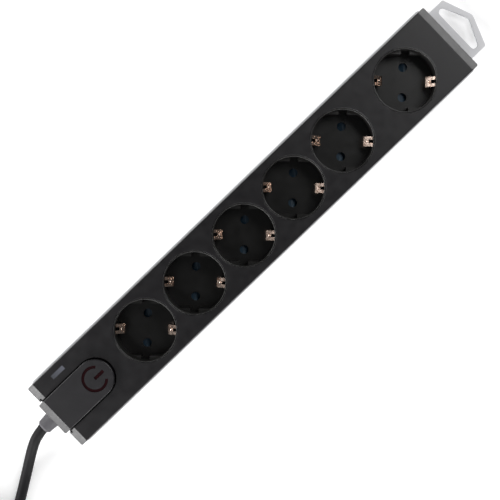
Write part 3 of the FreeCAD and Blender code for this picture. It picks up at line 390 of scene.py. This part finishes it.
def materials():
    """One material for each of the record's slots."""
    black = (0.0050, 0.0045, 0.0054)
    return {
        "cover_black": moulded("cover_black", black, 0.38, depth=0.007 * MM),
        "cup_black": moulded("cup_black", (0.0075, 0.0072, 0.0068), 0.36, depth=0.0015 * MM),
        "tray_grey": moulded("tray_grey", (0.46, 0.465, 0.475), 0.55, drift=0.03),
        "hanger_grey": moulded("hanger_grey", (0.68, 0.68, 0.70), 0.5, drift=0.03),
        "key_black": moulded("key_black", (0.0050, 0.0044, 0.0058), 0.40, depth=0.009 * MM),
        "lens_red": lens(),
        "inlay_blue_grey": inlay(),
        "shutter_blue": shutter_blue(),
        "plate_black": satin("plate_black", (0.02, 0.02, 0.021), 0.45),
        "carrier_white": satin("carrier_white", (0.66, 0.65, 0.60), 0.45),
        "switch_grey": satin("switch_grey", (0.05, 0.05, 0.052), 0.4),
        # the earth clips' brown patches are painted shade
        "earth_metal": sheet_metal("earth_metal", (0.93, 0.74, 0.63), (0.62, 0.36, 0.25), 0.22, 45),
        "contact_brass": sheet_metal("contact_brass", (0.78, 0.57, 0.27), (0.35, 0.20, 0.08), 0.3),
        "pin_nickel": sheet_metal("pin_nickel", (0.80, 0.77, 0.71), (0.55, 0.50, 0.42), 0.2),
        "steel_zinc": wire_metal("steel_zinc", (0.66, 0.67, 0.69), 0.35),
        "spring_steel": wire_metal("spring_steel", (0.50, 0.50, 0.52), 0.3),
        "lamp_glass": lamp_glass(),
        "lead_brown": sheath("lead_brown", (0.10, 0.035, 0.015)),
        "lead_blue": sheath("lead_blue", (0.02, 0.10, 0.40)),
        "lead_green_yellow": striped_lead(),
        "boot_rubber": rubber("boot_rubber", (0.060, 0.058, 0.064)),
        "foot_rubber": rubber("foot_rubber", (0.020, 0.020, 0.020)),
        "cord_black": sheath("cord_black", (0.0050, 0.0046, 0.0055)),
        "plug_black": moulded("plug_black", black, 0.4),
    }


def dress(looks):
    """Gives every CAD node the material of its slot, in place of the plain one it came with."""
    for row in frame["record"]["subparts"]:
        holder = frame["nodes"][row["node"]]
        for spot in holder.material_slots:
            spot.link = "OBJECT"
            spot.material = looks[row["material_slot"]]


# ---------------------------------------------------------------- lead

def eased(turn, start, end):
    """0 before start, 1 after end, and a smooth step between them."""
    t = min(max((turn - start) / (end - start), 0), 1)
    return t * t * (3 - 2 * t)


def hank_spot(turn, offset, height):
    """A point of the hank, clockwise from above, from the near end of its -Y side.

    The curve cuts inside its points on the rounded ends, so these points stand a little further out.
    """
    straight = HANK_FROM - HANK_TO
    half_end = math.pi * HANK_R
    along = (turn % 1) * 2 * (straight + half_end)
    back = along >= straight + half_end
    if back:
        along -= straight + half_end
    if along < straight:
        x, y = HANK_FROM - along, -offset
    else:
        angle = (along - straight) / HANK_R
        reach = offset / math.cos(math.pi / (2 * POINTS_AN_END))
        x, y = HANK_TO - reach * math.sin(angle), -reach * math.cos(angle)
    if back:
        x, y = HANK_FROM + HANK_TO - x, -y
    return x, HANK_Y + y, height


def hank_turns():
    """Points of the wound stretch: out to in below, up a layer, then in to out on top."""
    end = 3 + (HANK_FROM - HANK_TO) / (2 * (HANK_FROM - HANK_TO + math.pi * HANK_R))
    spots = []
    for i in range(1, int(end * POINTS_A_TURN)):
        turn = i / POINTS_A_TURN
        shift = 0.5 - eased(turn, *STEP_IN) + eased(turn, *STEP_OUT)
        height = CORD_R + HANK_LIFT * eased(turn, *STEP_UP)
        spots.append(hank_spot(turn, HANK_R + HANK_STEP * shift, height))
    return spots


def lead(look):
    data = bpy.data.curves.new("lead", "CURVE")
    data.dimensions = "3D"
    spots = ROUTE + hank_turns() + TAIL
    spline = data.splines.new("NURBS")
    spline.points.add(len(spots) - 1)
    for point, spot in zip(spline.points, spots):
        point.co = (*spot, 1)
    spline.order_u = 3
    spline.use_endpoint_u = True
    spline.resolution_u = 8
    data.bevel_depth = CORD_R
    data.bevel_resolution = 10
    data.use_fill_caps = True
    data.materials.append(look)
    piece = bpy.data.objects.new("lead", data)
    bpy.context.scene.collection.objects.link(piece)
    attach(piece, "strip_body")
    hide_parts("cord_run", "cord_coil", "cord_tail")
    return piece


def strap_ring(bm, low, high, wide, closed):
    """A flat band through matching lists of inner and outer (y, z) points, closed or with two cut ends."""
    rings = []
    for (y0, z0), (y1, z1) in zip(low, high):
        quad = [(-wide / 2, y0, z0), (wide / 2, y0, z0), (wide / 2, y1, z1), (-wide / 2, y1, z1)]
        rings.append([bm.verts.new(p) for p in quad])
    pairs = list(zip(rings, rings[1:]))
    if closed:
        pairs.append((rings[-1], rings[0]))
    else:
        bm.faces.new(rings[0][::-1])
        bm.faces.new(rings[-1])
    for a, b in pairs:
        for i in range(4):
            bm.faces.new((a[i], a[(i + 1) % 4], b[(i + 1) % 4], b[i]))


def hank_strap(name, x, side, look):
    """A flat strap closed round the four runs of one side of the hank, its free end lapping over the top."""
    wide, thick, corner = 11 * MM, 0.9 * MM, 2.6 * MM
    middle = HANK_Y + side * HANK_R
    half = HANK_STEP / 2 + CORD_R
    top = 2 * CORD_R + HANK_LIFT
    bends = [
        (half - corner, corner, -90), (half - corner, top - corner, 0),
        (corner - half, top - corner, 90), (corner - half, corner, 180),
    ]
    line = []
    for y, z, start in bends:
        for step in range(7):
            angle = math.radians(start + 15 * step)
            line.append((y, z, math.cos(angle), math.sin(angle)))
    def offset(spots, out):
        return [(middle + y + (corner + out) * c, z + (corner + out) * s) for y, z, c, s in spots]
    loop = [[(y, max(z, out)) for y, z in offset(line, thick - out)] for out in (thick, 0.05 * MM)]
    lap = [(2.5 * MM, top - corner, 0, 1), (0, top - corner, 0, 1), (1.5 * MM - half, top - corner, 0, 1)]
    bm = bmesh.new()
    strap_ring(bm, *loop, wide, True)
    strap_ring(bm, offset(lap, thick), offset(lap, 1.9 * thick), wide, False)
    bmesh.ops.recalc_face_normals(bm, faces=bm.faces)
    mesh = bpy.data.meshes.new(name)
    bm.to_mesh(mesh)
    bm.free()
    mesh.materials.append(look)
    piece = bpy.data.objects.new(name, mesh)
    piece.location.x = x
    bpy.context.scene.collection.objects.link(piece)
    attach(piece, "strip_body")
    return piece


# ---------------------------------------------------------------- scene

def main():
    camera()
    lighting()
    floor()
    looks = materials()
    dress(looks)
    cord = lead(looks["cord_black"])
    strap = woven_strap()
    straps = [
        hank_strap("lead_strap_a", STRAP_A_X, 1, strap),
        hank_strap("lead_strap_b", STRAP_B_X, -1, strap),
    ]


main()
